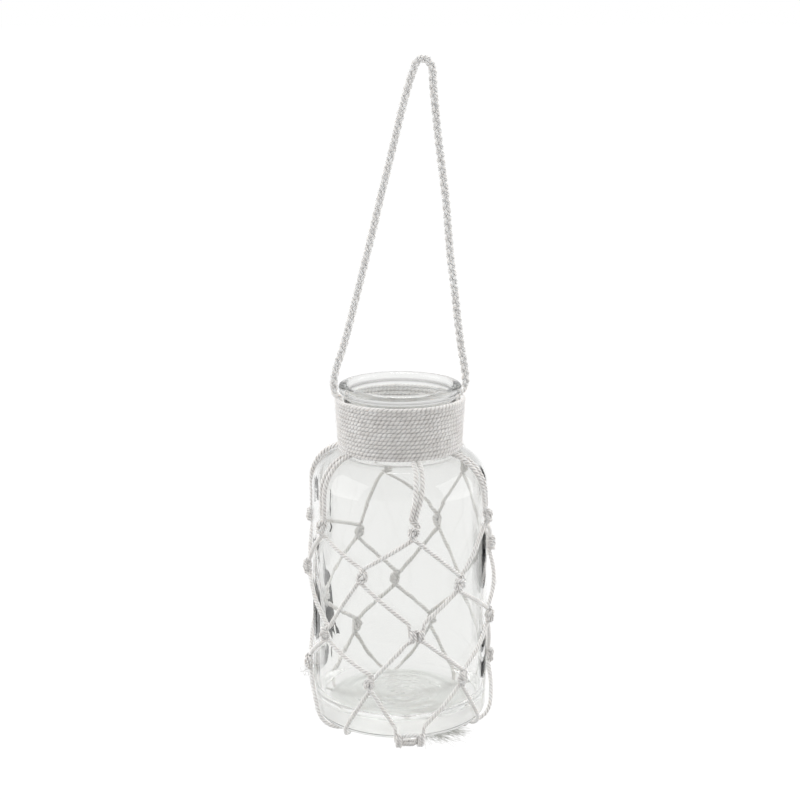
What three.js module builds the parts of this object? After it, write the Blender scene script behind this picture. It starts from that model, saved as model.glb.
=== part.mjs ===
// Hanging glass vase in a knotted cord net.
// Millimetres, +Z up. The origin is the inside of the loop's top, where a hook carries it.
// The vase is laid out about its own axis first, with height 0 at the glass base; azimuths
// are in degrees, 0 at the front (-Y) and growing to the right (+X).

import * as THREE from "three";

// Glass jar
const BODY_R = 50;
const BODY_H = 137;
const HEEL_R = 7.5;
const SHOULDER_R = 19.5;
const NECK_FOOT_R = 30;
const NECK_TOP_R = 32;
const NECK_H = 33.2;
const NECK_FILLET_R = 1.8;
const LIP_OVERHANG = 2.6;
const LIP_H = 4.6;
const WALL_T = 3;
const FLOOR_T = 10;
const GLASS_SIDES = 32;

// Cords
const GAP = 0.3;
const WINDING_GAP = 0.6;
const NET_CORD_D = 2.5;
const FLAT_CORD_T = 1.7;
const FLAT_CORD_W = 2.9;
const WRAP_CORD_D = 2.2;
const WRAP_PITCH = 2.45;
const WRAP_TURNS = 10.75;
const LOOP_CORD_D = 4.6;

// Net
const PAIRS = 6;
const PAIR_SPACING = 0.3;
const ROW_PITCH = 29.3;
const FIRST_ROW_DROP = 14.5;
const KNOT_T = 4.2;
const KNOT_HALF_W = 3.6;
const KNOT_H = 8;
const CORD_SIDES = 6;
const HEEL_STAND_OFF = 0.4;

// Gathering knot and cut ends under the base
const GATHER_R = 6.2;
const GATHER_DROP = 7;
const TAIL_T = 2.4;
const TAIL_AZ = 33;
const TAIL_SPREAD = 38;
const TAIL_INSET = 3;
const TAIL_COUNT = 12;

// Loop ends, flattened where they pass under the winding
const LOOP_END_T = 1.7;
const LOOP_END_W = 4.4;
const LOOP_END_TUCK = 15;

// Heights and radii that follow from the sizes above
const RAD = Math.PI / 180;
const SHOULDER_TOP = BODY_H + SHOULDER_R;
const NECK_TOP = SHOULDER_TOP + NECK_H;
const LIP_R = NECK_TOP_R + LIP_OVERHANG;
const TAIL_REACH = BODY_R - TAIL_INSET;
const WRAP_BOTTOM = SHOULDER_TOP + 2 * GAP + FLAT_CORD_T;
const LOOP_ANCHOR_X = LIP_R + GAP + 0.1 + LOOP_CORD_D / 2;

// Taut route of the hanging loop, in its own plane: distance right of the axis and height
// above the base. The legs leave the anchors straight up past the lip and lean in to the top.
const LOOP_ROUTE_LEFT = [
  [-37.3, 197.5],
  [-35.6, 205.5],
  [-32.6, 214.0],
  [-28.0, 230.5],
  [-23.7, 247.3],
  [-19.4, 264.0],
  [-15.1, 281.0],
  [-11.2, 297.5],
  [-7.1, 313.7],
  [-3.1, 330.0],
  [0.9, 346.0],
  [4.8, 360.5],
  [7.3, 367.8],
  [9.0, 371.8],
];
const LOOP_TOP = [12.5, 373.6];
const LOOP_ROUTE_RIGHT = [
  [16.0, 371.8],
  [17.7, 367.8],
  [18.1, 360.5],
  [19.5, 346.0],
  [21.2, 330.0],
  [23.3, 313.7],
  [25.4, 297.5],
  [26.9, 281.0],
  [28.4, 264.0],
  [30.6, 247.3],
  [32.5, 230.5],
  [34.7, 214.0],
  [36.2, 205.5],
  [37.3, 197.5],
];

// Azimuth of each pair's knots, row by row, as the tied net lies on the glass: even rows
// stand between two pairs, and no two knots are exactly alike
const KNOT_AZ = [
  [0, 60, 122, 180, 250, -64],
  [30, 87, 146, 200, -94, -31],
  [2, 66, 121, 176, 238, -61],
  [33, 90, 149, 203, -91, -27],
  [-2, 60, 120, 180, 240, -56],
];

// How far each knot sits above (+) or below (-) its row
const KNOT_RISE = [
  [0.5, 0.5, 14.5, 14.5, -7.5, -3.5],
  [-3.0, 5.5, 8.0, 1.0, -4.5, 3.0],
  [0.0, -1.5, 2.0, -1.0, -1.5, -5.5],
  [0.0, -3.5, 3.5, 1.0, -3.5, 0.5],
];

// Run along the base, in from the heel, at which each pair's last knot sits; the front one
// is on the heel itself
const LAST_KNOT_RUN = [49.5, 37, 36, 36, 36, 31];

// Azimuth at which each pair comes out from under the winding
const PAIR_TOP_AZ = [12, 60, 122, 180, 250, -64];

// The lowest knot at the front is tied loosely, and is this many times wider than the others
const LOOSE_KNOT_SHARE = 1.9;

// Stretches that stand off the glass: pair, hand, row that the stretch starts from, and how far
const SLACK = [
  [1, 1, 1, 2.4],
  [1, 1, 3, 1.6],
];

const glassLook = new THREE.MeshStandardMaterial({ color: 0xdfe6e2, roughness: 0.04, metalness: 0 });
const wrapLook = new THREE.MeshStandardMaterial({ color: 0xd3cfca, roughness: 0.95, metalness: 0 });
const loopLook = new THREE.MeshStandardMaterial({ color: 0xdad7d2, roughness: 0.95, metalness: 0 });
const netLook = new THREE.MeshStandardMaterial({ color: 0xd0ccc6, roughness: 0.95, metalness: 0 });

function vector(x, y, z) {
  return new THREE.Vector3(x, y, z);
}

// A point at radius r, azimuth az in radians and height z
function around(r, az, z) {
  return vector(r * Math.sin(az), -r * Math.cos(az), z);
}

// A closed tube through rings of equal count, capped by a fan at each end
function tubeGeometry(rings) {
  const sides = rings[0].length;
  const positions = [];
  for (const ring of rings) {
    for (const p of ring) {
      positions.push(p.x, p.y, p.z);
    }
  }
  const index = [];
  for (let i = 0; i + 1 < rings.length; i += 1) {
    for (let j = 0; j < sides; j += 1) {
      const a = i * sides + j;
      const b = i * sides + ((j + 1) % sides);
      index.push(a, b, b + sides, a, b + sides, a + sides);
    }
  }
  for (const [start, end] of [[0, 1], [(rings.length - 1) * sides, -1]]) {
    const middle = vector(0, 0, 0);
    const ring = rings[start / sides];
    for (const p of ring) {
      middle.addScaledVector(p, 1 / sides);
    }
    const tip = positions.length / 3;
    positions.push(middle.x, middle.y, middle.z);
    for (let j = 0; j < sides; j += 1) {
      const a = start + j;
      const b = start + ((j + 1) % sides);
      if (end > 0) {
        index.push(tip, b, a);
      } else {
        index.push(tip, a, b);
      }
    }
  }
  const geometry = new THREE.BufferGeometry();
  geometry.setAttribute("position", new THREE.Float32BufferAttribute(positions, 3));
  geometry.setIndex(index);
  geometry.computeVertexNormals();
  return geometry;
}

// The rings of a cord swept through stations of { at, out, side, lift }: at is the middle, out
// the direction away from what it lies on, and side and lift its half width and half thickness
function cordRings(stations, sides) {
  const rings = [];
  for (let i = 0; i < stations.length; i += 1) {
    const before = stations[Math.max(i - 1, 0)].at;
    const after = stations[Math.min(i + 1, stations.length - 1)].at;
    const along = after.clone().sub(before).normalize();
    const station = stations[i];
    const out = station.out.clone().addScaledVector(along, -station.out.dot(along)).normalize();
    const across = out.clone().cross(along);
    const ring = [];
    for (let j = 0; j < sides; j += 1) {
      const turn = (2 * Math.PI * j) / sides;
      const p = station.at.clone();
      p.addScaledVector(out, station.lift * Math.cos(turn));
      p.addScaledVector(across, -station.side * Math.sin(turn));
      ring.push(p);
    }
    rings.push(ring);
  }
  return rings;
}

function makeMesh(name, geometry, material) {
  const mesh = new THREE.Mesh(geometry, material);
  mesh.name = name;
  return mesh;
}

// Glass jar: heavy base, rounded heel, straight wall, round shoulder, short neck, thick lip
function arcPoints(middleR, middleZ, radius, from, to, steps) {
  const points = [];
  for (let i = 0; i <= steps; i += 1) {
    const a = (from + ((to - from) * i) / steps) * RAD;
    points.push([middleR + radius * Math.cos(a), middleZ + radius * Math.sin(a)]);
  }
  return points;
}

function neckRadius(z) {
  const share = (z - SHOULDER_TOP) / NECK_H;
  return NECK_FOOT_R + (NECK_TOP_R - NECK_FOOT_R) * share;
}

function jarProfile() {
  const shoulderMiddleR = BODY_R - SHOULDER_R;
  const lipMiddleZ = NECK_TOP + LIP_H / 2;
  const lipInnerR = NECK_TOP_R - WALL_T;
  const innerHeelR = HEEL_R + 2;
  const innerR = BODY_R - WALL_T;
  const filletR = NECK_FILLET_R;
  const footR = neckRadius(SHOULDER_TOP) + filletR;
  const reach = footR - shoulderMiddleR;
  const footSlope = Math.acos(reach / SHOULDER_R) / RAD;
  const footZ = BODY_H + SHOULDER_R * Math.sin(footSlope * RAD) + filletR;
  return [
    [0, 0],
    ...arcPoints(BODY_R - HEEL_R, HEEL_R, HEEL_R, -90, 0, 4),
    ...arcPoints(shoulderMiddleR, BODY_H, SHOULDER_R, 0, footSlope, 6),
    ...arcPoints(footR, footZ, filletR, -90, -180, 2).slice(1),
    [NECK_TOP_R, NECK_TOP - 0.3],
    [NECK_TOP_R + 0.5, NECK_TOP],
    [LIP_R - 0.6, NECK_TOP + 0.1],
    [LIP_R - 0.1, NECK_TOP + 0.9],
    [LIP_R, lipMiddleZ],
    [LIP_R - 0.5, NECK_TOP + LIP_H - 0.7],
    [LIP_R - 1.7, NECK_TOP + LIP_H],
    [lipInnerR + 1.7, NECK_TOP + LIP_H],
    [lipInnerR + 0.5, NECK_TOP + LIP_H - 0.7],
    [lipInnerR, lipMiddleZ],
    [NECK_FOOT_R - WALL_T, SHOULDER_TOP + 2],
    [NECK_FOOT_R - WALL_T + 0.6, SHOULDER_TOP - WALL_T + 2.4],
    [NECK_FOOT_R - WALL_T + 2, SHOULDER_TOP - WALL_T + 0.8],
    ...arcPoints(shoulderMiddleR, BODY_H, SHOULDER_R - WALL_T, 86, 0, 4),
    ...arcPoints(innerR - innerHeelR, FLOOR_T + innerHeelR, innerHeelR, 0, -90, 3),
    [0, FLOOR_T],
  ];
}

function jarGeometry() {
  const profile = jarProfile().map(([r, z]) => new THREE.Vector2(r, z));
  const lathe = new THREE.LatheGeometry(profile, GLASS_SIDES);
  lathe.rotateX(Math.PI / 2);
  return lathe;
}

// Where a cord lies on the glass: run is measured along the outside, from the middle of the
// base out to the heel, up the wall and in over the shoulder
const BASE_RUN = BODY_R - HEEL_R;
const HEEL_RUN = BASE_RUN + (HEEL_R * Math.PI) / 2;
const WALL_RUN = HEEL_RUN + BODY_H - HEEL_R;

function offGlass(run, lift) {
  if (run < BASE_RUN) {
    return { r: run, z: -lift, outR: 0, outZ: -1 };
  }
  if (run < HEEL_RUN) {
    const a = (run - BASE_RUN) / HEEL_R;
    const r = BASE_RUN + (HEEL_R + lift) * Math.sin(a);
    const z = HEEL_R - (HEEL_R + lift) * Math.cos(a);
    return { r, z, outR: Math.sin(a), outZ: -Math.cos(a) };
  }
  if (run < WALL_RUN) {
    return { r: BODY_R + lift, z: HEEL_R + run - HEEL_RUN, outR: 1, outZ: 0 };
  }
  const a = (run - WALL_RUN) / SHOULDER_R;
  const r = BODY_R - SHOULDER_R + (SHOULDER_R + lift) * Math.cos(a);
  const z = BODY_H + (SHOULDER_R + lift) * Math.sin(a);
  return { r, z, outR: Math.cos(a), outZ: Math.sin(a) };
}

// A station of a net cord on the glass, shifted sideways by `shift`; round the heel the cord
// stands off a little more
function glassStation(az, run, shift, halfW, halfT, slack = 0) {
  const onHeel = Math.min(Math.max((run - BASE_RUN) / (HEEL_RUN - BASE_RUN), 0), 1);
  const spot = offGlass(run, GAP + halfT + slack + HEEL_STAND_OFF * Math.sin(Math.PI * onHeel));
  const turn = az * RAD + Math.asin(shift / spot.r);
  const out = around(spot.outR, az * RAD, spot.outZ);
  return { at: around(spot.r, turn, spot.z), out, side: halfW, lift: halfT };
}

function neckStation(az, z, shift, r) {
  const turn = az * RAD + Math.asin(shift / r);
  const out = around(1, az * RAD, 0);
  return { at: around(r, turn, z), out, side: FLAT_CORD_W / 2, lift: FLAT_CORD_T / 2 };
}

// Row and place of the knots that one cord of a pair passes: its own pair's knots in the odd
// rows, and the knot shared with the next pair on its side in the even rows
function knotRun(row, place) {
  if (row === 4) {
    return LAST_KNOT_RUN[place];
  }
  const z = BODY_H - FIRST_ROW_DROP - row * ROW_PITCH + KNOT_RISE[row][place];
  return HEEL_RUN + z - HEEL_R;
}

function slackOf(pair, hand, row) {
  const found = SLACK.find((s) => s[0] === pair && s[1] === hand && s[2] === row);
  return found ? found[3] : 0;
}

// Where a stretch of cord bends on its way down: at even steps, and closely round the heel
function stretchShares(startRun, length, shares = [0.2, 0.4, 0.6, 0.8]) {
  const heelShares = [];
  for (let i = 0; i <= 4; i += 1) {
    const run = HEEL_RUN + 0.6 - ((HEEL_RUN - BASE_RUN + 1.2) * i) / 4;
    const share = (startRun - run) / length;
    if (share > 0.06 && share < 0.94) {
      heelShares.push(share);
    }
  }
  if (heelShares.length === 0) {
    return shares;
  }
  const clear = 0.12;
  const kept = shares.filter((share) => heelShares.every((other) => Math.abs(share - other) > clear));
  return [...kept, ...heelShares].sort((a, b) => a - b);
}

function unwrapNear(angle, near) {
  let result = angle;
  while (result - near > 180) {
    result -= 360;
  }
  while (result - near < -180) {
    result += 360;
  }
  return result;
}

function netCordStations(pair, hand) {
  const r = NET_CORD_D / 2;
  const flat = Math.cos(Math.PI / CORD_SIDES);
  const flatShift = (hand * (FLAT_CORD_W * flat + PAIR_SPACING + 0.1)) / 2;
  const roundShift = (hand * (NET_CORD_D * flat + PAIR_SPACING + 0.6)) / 2;
  const stations = [];
  const topAz = PAIR_TOP_AZ[pair];
  const tuckTop = NECK_TOP - 5;
  for (const z of [tuckTop, (tuckTop + SHOULDER_TOP) / 2, SHOULDER_TOP + 3]) {
    stations.push(neckStation(topAz, z, flatShift, neckRadius(z) + GAP + FLAT_CORD_T / 2));
  }
  const footLift = GAP + FLAT_CORD_T / 2;
  const footR = NECK_FOOT_R + footLift + 0.55;
  const corner = neckStation(topAz, SHOULDER_TOP + footLift + 0.35, flatShift, footR);
  corner.out = around(1, topAz * RAD, 1);
  stations.push(corner);
  const shoulderRun = WALL_RUN + SHOULDER_R * Math.acos((footR + 1.6 - BODY_R + SHOULDER_R) / SHOULDER_R);
  stations.push(glassStation(topAz, shoulderRun, flatShift, FLAT_CORD_W / 2, FLAT_CORD_T / 2));
  // Over the shoulder, and aside to the pair's first knot
  const firstRun = knotRun(0, pair) + KNOT_H / 2;
  let az = KNOT_AZ[0][pair];
  for (const share of [0.8, 0.57, 0.36, 0.17, -0.04]) {
    const run = WALL_RUN + (shoulderRun - WALL_RUN) * share;
    if (run > firstRun + 1.5) {
      const down = (shoulderRun - run) / (shoulderRun - firstRun);
      stations.push(glassStation(topAz + (az - topAz) * down ** 1.6, run, roundShift, r, r));
    }
  }
  for (let row = 0; row < 5; row += 1) {
    const between = row % 2 === 1 && hand < 0;
    const place = between ? (pair + PAIRS - 1) % PAIRS : pair;
    const side = row % 2 === 1 ? -1 : 1;
    const run = knotRun(row, place);
    az = unwrapNear(KNOT_AZ[row][place], az);
    const widen = row === 4 && place === 0 ? LOOSE_KNOT_SHARE : 1;
    const knotSide = (KNOT_HALF_W * widen - PAIR_SPACING / 2) / 2 / flat;
    const shift = (side * hand * (KNOT_HALF_W * widen + PAIR_SPACING / 2)) / 2;
    const slack = slackOf(pair, hand, row - 1);
    const last = stations[stations.length - 1];
    if (row > 0) {
      // The stretch from the knot above, straight on the unrolled glass
      const from = last;
      const startRun = from.run - KNOT_H / 2;
      const length = startRun - run - KNOT_H / 2;
      for (const share of stretchShares(startRun, length)) {
        const midAz = from.az + (az - from.az) * share;
        const midShift = from.shift + (shift - from.shift) * share;
        const off = slack * Math.sin(Math.PI * share);
        stations.push(glassStation(midAz, startRun - length * share, midShift, r, r, off));
      }
    }
    for (const [lengthwise, full] of [[0.5, 0], [0.3, 1], [-0.3, 1], [-0.5, 0]]) {
      const halfW = full ? knotSide : r;
      const halfT = full ? KNOT_T / 2 : r;
      stations.push(glassStation(az, run + KNOT_H * lengthwise, shift, halfW, halfT));
    }
    Object.assign(stations[stations.length - 1], { az, run, shift });
  }
  // In under the base to the gathering knot
  const end = stations[stations.length - 1];
  const innerRun = GATHER_R + GAP;
  const innerShift = (hand * innerRun * Math.sin(Math.PI / (2 * PAIRS))) * 1.06;
  const endAz = unwrapNear(pair * (360 / PAIRS), az);
  const startRun = end.run - KNOT_H / 2;
  const length = startRun - innerRun;
  for (const share of [...stretchShares(startRun, length, [0.55]), 1]) {
    const run = startRun - length * share;
    const midShift = end.shift + (innerShift - end.shift) * share;
    const midAz = az + (endAz - az) * share;
    stations.push(glassStation(midAz, run, midShift, r, r));
  }
  return stations;
}

// Winding round the neck: one cord, with its least gap to itself measured between turns
function windingRings() {
  const stepsPerTurn = 24;
  const steps = Math.round(WRAP_TURNS * stepsPerTurn);
  const halfT = WRAP_CORD_D / 2;
  const startAz = 150 * RAD;
  const lowest = WRAP_BOTTOM + halfT * Math.cos(Math.PI / 6);
  const stations = [];
  const ends = [];
  for (let i = 0; i <= steps; i += 1) {
    const z = lowest + (WRAP_PITCH * i) / stepsPerTurn;
    const az = startAz + (2 * Math.PI * i) / stepsPerTurn;
    const r = neckRadius(z) + GAP + WINDING_GAP + FLAT_CORD_T + halfT;
    stations.push({ at: around(r, az, z), out: around(1, az, 0), side: halfT, lift: halfT });
  }
  // Both ends run straight on for one cord thickness
  for (const [end, next] of [[0, 1], [steps, steps - 1]]) {
    const along = stations[end].at.clone().sub(stations[next].at).normalize();
    const at = stations[end].at.clone().addScaledVector(along, WRAP_CORD_D);
    ends.push({ ...stations[end], at });
  }
  stations.unshift(ends[0]);
  stations.push(ends[1]);
  return cordRings(stations, 6);
}

function leastGap(rings, apart) {
  let least = Infinity;
  for (let i = 0; i < rings.length; i += 1) {
    for (let k = i + apart; k < rings.length; k += 1) {
      for (const p of rings[i]) {
        for (const q of rings[k]) {
          least = Math.min(least, p.distanceTo(q));
        }
      }
    }
  }
  return least;
}

// Hanging loop: one taut cord with rounded ends that turn in the winding's top edge
const WRAP_TOP = WRAP_BOTTOM + WRAP_PITCH * WRAP_TURNS + WRAP_CORD_D;
const LOOP_END_TOP = WRAP_TOP + GAP + LOOP_END_T;
const HINGE_Z = LOOP_END_TOP + GAP + LOOP_CORD_D / 2;

function loopRings() {
  const r = LOOP_CORD_D / 2;
  const sides = 10;
  const route = [
    [-LOOP_ANCHOR_X, HINGE_Z],
    ...LOOP_ROUTE_LEFT,
    LOOP_TOP,
    ...LOOP_ROUTE_RIGHT,
    [LOOP_ANCHOR_X, HINGE_Z],
  ].map(([x, z]) => vector(x, 0, z));
  const curve = new THREE.CatmullRomCurve3(route, false, "centripetal");
  const steps = 46;
  const stations = [];
  const out = vector(0, 1, 0);
  for (let i = 0; i <= steps; i += 1) {
    stations.push({ at: curve.getPointAt(i / steps), out, side: r, lift: r });
  }
  const startAlong = vector(0, 0, -1);
  const caps = [];
  for (const turn of [75, 40]) {
    const drop = r * Math.sin(turn * RAD);
    const small = r * Math.cos(turn * RAD);
    caps.push({ drop, small });
  }
  const first = stations[0].at;
  const last = stations[stations.length - 1].at;
  const start = caps.map(({ drop, small }) => (
    { at: first.clone().addScaledVector(startAlong, drop), out, side: small, lift: small }
  ));
  const end = caps.map(({ drop, small }) => (
    { at: last.clone().addScaledVector(startAlong, drop), out, side: small, lift: small }
  )).reverse();
  return cordRings([...start, ...stations, ...end], sides);
}

// A loop end: flat, in over the winding's top turn, then down between winding and glass
function loopEndRings(sign) {
  const halfT = LOOP_END_T / 2;
  const halfW = LOOP_END_W / 2;
  const laidZ = WRAP_TOP + GAP + halfT;
  const tuckedR = (z) => neckRadius(z) + GAP + halfT + 0.05;
  const bendR = tuckedR(laidZ);
  const route = [
    [LOOP_ANCHOR_X + 1.6, laidZ, 0, 1],
    [bendR + 1.5, laidZ, 0, 1],
    [bendR + 0.35, laidZ - 0.35, -1, 1],
    [tuckedR(laidZ - 1.6), laidZ - 1.6, -1, 0],
    [tuckedR(laidZ - 8), laidZ - 8, -1, 0],
    [tuckedR(laidZ - LOOP_END_TUCK), laidZ - LOOP_END_TUCK, -1, 0],
  ];
  const stations = route.map(([r, z, outR, outZ]) => (
    { at: vector(sign * r, 0, z), out: vector(sign * outR, 0, outZ), side: halfW, lift: halfT }
  ));
  return cordRings(stations, 8);
}

// Gathering knot: a squashed ball of tied cord under the middle of the base
function gatherGeometry() {
  const top = -GAP;
  const middle = top - GATHER_DROP / 2 + GAP / 2;
  const half = (GATHER_DROP - GAP) / 2;
  const points = [];
  for (let i = 0; i <= 8; i += 1) {
    const a = (-90 + (180 * i) / 8) * RAD;
    points.push(new THREE.Vector2(GATHER_R * Math.cos(a), middle + half * Math.sin(a)));
  }
  points[0].x = 0;
  points[8].x = 0;
  const lathe = new THREE.LatheGeometry(points, 16);
  lathe.rotateX(Math.PI / 2);
  return lathe;
}

// Cut ends: twelve cord ends fanned out flat below the net, from the knot past the heel
function tailGeometry() {
  const shape = new THREE.Shape();
  const place = (r, az) => [r * Math.sin(az * RAD), -r * Math.cos(az * RAD)];
  const innerR = GATHER_R + GAP + 0.3;
  const step = TAIL_SPREAD / TAIL_COUNT;
  const startAz = TAIL_AZ - TAIL_SPREAD / 2;
  shape.moveTo(...place(innerR, TAIL_AZ - 20));
  for (let i = 0; i < TAIL_COUNT; i += 1) {
    const az = startAz + step * i;
    const tip = TAIL_REACH + 2 * Math.sin(i * 2.1);
    shape.lineTo(...place(TAIL_REACH * 0.55, az + 0.1 * step));
    shape.lineTo(...place(tip, az + 0.15 * step));
    shape.lineTo(...place(tip, az + 0.85 * step));
    shape.lineTo(...place(TAIL_REACH * 0.55, az + 0.9 * step));
  }
  shape.lineTo(...place(innerR, TAIL_AZ + 20));
  shape.closePath();
  const geometry = new THREE.ExtrudeGeometry(shape, { depth: TAIL_T, bevelEnabled: false });
  geometry.translate(0, 0, -2 * GAP - NET_CORD_D - TAIL_T);
  return geometry;
}

const vase = new THREE.Group();
vase.add(makeMesh("glass_jar", jarGeometry(), glassLook));

const windingShape = windingRings();
vase.add(makeMesh("neck_winding", tubeGeometry(windingShape), wrapLook));
console.log(`neck_winding: least gap to itself ${leastGap(windingShape, 12).toFixed(2)} mm`);

for (let pair = 0; pair < PAIRS; pair += 1) {
  for (const [hand, word] of [[-1, "left"], [1, "right"]]) {
    const rings = cordRings(netCordStations(pair, hand), CORD_SIDES);
    vase.add(makeMesh(`net_cord_${pair + 1}_${word}`, tubeGeometry(rings), netLook));
  }
}

vase.add(makeMesh("loop_end_left", tubeGeometry(loopEndRings(-1)), loopLook));
vase.add(makeMesh("loop_end_right", tubeGeometry(loopEndRings(1)), loopLook));
vase.add(makeMesh("gathering_knot", gatherGeometry(), netLook));
vase.add(makeMesh("cut_ends", tailGeometry(), netLook));

const loop = new THREE.Group();
loop.add(makeMesh("hanging_loop", tubeGeometry(loopRings()), loopLook));

const part = new THREE.Group();
for (const group of [vase, loop]) {
  group.position.set(-LOOP_TOP[0], 0, -(LOOP_TOP[1] - LOOP_CORD_D / 2));
  part.add(group);
}

export default part;
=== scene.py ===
from math import acos, atan2, copysign, cos, hypot, pi, sin, tan

import bpy
import numpy as np
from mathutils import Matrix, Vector


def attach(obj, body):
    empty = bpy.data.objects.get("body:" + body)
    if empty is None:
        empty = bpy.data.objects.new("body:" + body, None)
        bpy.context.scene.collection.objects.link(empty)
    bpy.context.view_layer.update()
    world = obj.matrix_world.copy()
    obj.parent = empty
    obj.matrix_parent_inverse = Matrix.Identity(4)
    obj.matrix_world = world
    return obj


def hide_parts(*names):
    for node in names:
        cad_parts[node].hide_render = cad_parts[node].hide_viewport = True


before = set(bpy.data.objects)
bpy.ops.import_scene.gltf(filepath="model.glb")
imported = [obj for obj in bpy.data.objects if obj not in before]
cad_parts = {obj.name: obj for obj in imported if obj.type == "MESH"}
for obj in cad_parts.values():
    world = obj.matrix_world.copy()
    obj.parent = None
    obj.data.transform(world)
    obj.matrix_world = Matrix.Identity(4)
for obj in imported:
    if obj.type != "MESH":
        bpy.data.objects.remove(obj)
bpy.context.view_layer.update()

MM = 0.001
RAD = pi / 180
TURN = 2 * pi
scene = bpy.context.scene

# Sizes in millimetres, nearly all as in the part's source. Height 0 is the glass base, the
# jar's axis is at x = 0, and azimuths are in degrees, 0 at the front (-Y), growing to the right.
BODY_R = 50
BODY_H = 137
HEEL_R = 7.5
SHOULDER_R = 19.5
NECK_FOOT_R = 30
NECK_TOP_R = 32
NECK_H = 33.2
NECK_FILLET_R = 1.8
LIP_OVERHANG = 2.6
LIP_H = 4.6
LIP_FLATNESS = 0.65
WALL_T = 3
FLOOR_T = 10
NET_CORD_D = 2.7
WRAP_PITCH = 2.45
WRAP_TURNS = 10.75
LOOP_CORD_D = 4.6
PAIRS = 6
ROW_PITCH = 29.3
FIRST_ROW_DROP = 14.5
GATHER_R = 6.2
# A flattened net cord under the winding, with its clearances
UNDER_WRAP_T = 2.3
WRAP_CORD_D = 2.2
# From the winding's top over the loop's flat end to the middle of the plait's end
LOOP_END_RISE = 4.6
LOOP_GAP = 0.4
SHOULDER_TOP = BODY_H + SHOULDER_R
NECK_TOP = SHOULDER_TOP + NECK_H
LIP_R = NECK_TOP_R + LIP_OVERHANG
WRAP_BOTTOM = SHOULDER_TOP + UNDER_WRAP_T
WRAP_TOP = WRAP_BOTTOM + WRAP_PITCH * WRAP_TURNS + WRAP_CORD_D
HINGE_Z = WRAP_TOP + LOOP_END_RISE
LOOP_ANCHOR_X = LIP_R + LOOP_GAP + LOOP_CORD_D / 2

# Route of the hanging loop in its own plane: right of the jar's axis, and height
LOOP_ROUTE = [
    (-37.3, 191.94), (-37.3, 197.5), (-35.6, 205.5), (-32.6, 214.0), (-28.0, 230.5),
    (-23.7, 247.3), (-19.4, 264.0), (-15.1, 281.0), (-11.2, 297.5), (-7.1, 313.7),
    (-3.1, 330.0), (0.9, 346.0), (4.8, 360.5), (7.3, 367.8), (9.0, 371.8),
    (12.5, 373.6), (16.0, 371.8), (17.7, 367.8), (18.1, 360.5), (19.5, 346.0),
    (21.2, 330.0), (23.3, 313.7), (25.4, 297.5), (26.9, 281.0), (28.4, 264.0),
    (30.6, 247.3), (32.5, 230.5), (34.7, 214.0), (36.2, 205.5), (37.3, 197.5),
    (37.3, 191.94),
]
LOOP_TOP_X, LOOP_TOP_Z = max(LOOP_ROUTE, key=lambda point: point[1])
LOOP_TOP_INNER_Z = LOOP_TOP_Z - LOOP_CORD_D / 2

# Azimuth of each pair's knots, row by row, and how far each sits above its row
KNOT_AZ = [
    [0, 60, 122, 180, 250, -64],
    [30, 87, 146, 200, -94, -31],
    [2, 66, 121, 176, 238, -61],
    [33, 90, 149, 203, -91, -27],
    [-2, 60, 120, 180, 240, -56],
]
KNOT_RISE = [
    [0.5, 0.5, 17.5, 17.5, -7.5, -3.5],
    [-3.0, 5.5, 8.0, 1.0, -4.5, 3.0],
    [0.0, -1.5, 2.0, -1.0, -1.5, -5.5],
    [0.0, -3.5, 3.5, 1.0, -3.5, 0.5],
]
# The last row's knots lie round the heel: length along the glass from the middle of the base
LAST_KNOT_RUN = [49.5, 37, 36, 36, 36, 31]
# Azimuth at which each pair comes out from under the winding
PAIR_TOP_AZ = [6.5, 54, 122, 180, 250, -64]
# Stretches that stand off the glass: pair, hand and row that they start from
SLACK = {(1, 1, 1): 2.4, (1, 1, 3): 1.6}

# Camera, fitted to the jar's outline and the loop
CAMERA_DISTANCE = 1006
CAMERA_AZ = -8
CAMERA_ELEVATION = 13.01
CAMERA_TARGET_Z = 184.75
CAMERA_LENS = 80.5
SENSOR = 36

# Lengths along the glass from the middle of the base to the heel, the wall and the shoulder
BASE_RUN = BODY_R - HEEL_R
HEEL_RUN = BASE_RUN + HEEL_R * pi / 2
WALL_RUN = HEEL_RUN + BODY_H - HEEL_R


def placed(points):
    """Points of the jar's own layout, in millimetres, to the part's frame in metres"""
    points = np.asarray(points, float).reshape(-1, 3)
    return (points - [LOOP_TOP_X, 0, LOOP_TOP_INNER_Z]) * MM


def around(radius, azimuth, height):
    """A point at an azimuth in degrees"""
    angle = np.asarray(azimuth) * RAD
    return np.stack(
        np.broadcast_arrays(radius * np.sin(angle), -radius * np.cos(angle), height), -1
    ).astype(float)


def neck_radius(height):
    """Outer radius of the tapered neck"""
    share = (height - SHOULDER_TOP) / NECK_H
    return NECK_FOOT_R + (NECK_TOP_R - NECK_FOOT_R) * share


def in_scene(name, data):
    """A new object, linked into the scene"""
    made = bpy.data.objects.new(name, data)
    scene.collection.objects.link(made)
    return made


def faced(name, points, faces):
    """A new object from points in metres and its faces"""
    mesh = bpy.data.meshes.new(name)
    mesh.from_pydata(points, [], faces)
    return in_scene(name, mesh)


# Camera
elevation = CAMERA_ELEVATION * RAD
eye = around(CAMERA_DISTANCE * cos(elevation), CAMERA_AZ, 0)
eye[2] = CAMERA_TARGET_Z + CAMERA_DISTANCE * sin(elevation)
camera_data = bpy.data.cameras.new("camera")
camera_data.lens = CAMERA_LENS
camera_data.sensor_width = SENSOR
camera = in_scene("camera", camera_data)
camera.location = placed(eye)[0]
look = Vector(placed([0, 0, CAMERA_TARGET_Z])[0]) - camera.location
camera.rotation_euler = look.to_track_quat("-Z", "Y").to_euler()
scene.camera = camera


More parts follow.
